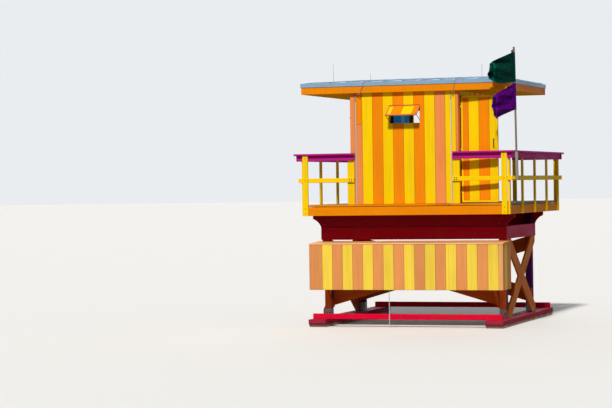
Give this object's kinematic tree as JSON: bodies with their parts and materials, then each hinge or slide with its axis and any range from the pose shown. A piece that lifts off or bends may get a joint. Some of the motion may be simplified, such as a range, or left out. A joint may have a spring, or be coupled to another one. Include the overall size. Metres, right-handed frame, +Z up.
{
  "type": "lifeguard tower",
  "caption": "Striped timber beach lookout cabin with railed deck, flared girders and braced legs on skids; storage box in front, side door hinged open, two flags on a leaning pole.",
  "frame": {"origin": "on the ground in the middle of the tower's plan", "axes": "+X to the right as seen from the front, +Y back towards the sea, +Z up"},
  "size_m": [4.6535, 5.1024, 5.5599],
  "materials": {
    "yellow": "painted yellow, semi-gloss",
    "orange": "painted orange, semi-gloss",
    "striped": "painted vertical stripes of yellow and orange",
    "pastel": "painted vertical stripes of pale yellow and salmon",
    "magenta": "painted magenta",
    "crimson": "painted crimson",
    "purple": "painted purple and orange",
    "deck_grey": "weathered grey paint",
    "joist": "bare weathered timber",
    "shoe": "galvanised",
    "metal": "sheet metal, satin",
    "steel": "galvanised",
    "pole": "bare timber",
    "sleeve": "matt grey",
    "glass": "tinted",
    "green": "woven",
    "violet": "woven"
  },
  "bodies": {
    "tower": {"box_lid": "pastel", "box_struts": "orange", "cross_rails": "crimson", "deck_floor": "deck_grey", "deck_joists": "joist", "deck_rim": "orange", "door_header": "yellow", "door_hinges": "steel", "door_post": "yellow", "down_conductors": "steel", "end_braces_falling": "orange", "end_braces_rising": "orange", "end_caps": "magenta", "end_girders": "crimson", "end_rails": "yellow", "flagpole": "pole", "flap_stays": "steel", "front_piers": "striped", "front_wall": "striped", "green_flag": "green", "left_wall": "striped", "leg_shoes": "shoe", "legs": "purple", "lightning_rods": "steel", "lookout_glass": "glass", "lookout_mullions": "yellow", "pole_block": "yellow", "pole_sleeve": "sleeve", "purple_flag": "violet", "rail_posts": "yellow", "rear_wall": "striped", "right_wall": "striped", "roof": "metal", "roof_fascia": "orange", "side_braces_falling": "orange", "side_braces_rising": "orange", "side_caps": "magenta", "side_girders": "crimson", "side_rails": "yellow", "skids": "crimson", "soffit": "yellow", "storage_box": "pastel", "window_flaps": "striped"},
    "door": {"door_leaf": "striped", "door_handle": "steel"}
  },
  "joints": [
    {"name": "door_hinge", "type": "hinge", "parent": "tower", "child": "door", "pos_m": [1.138, -1.901, 3.5625], "axis": [0, 0, 1], "range_deg": [0, 94]}
  ]
}
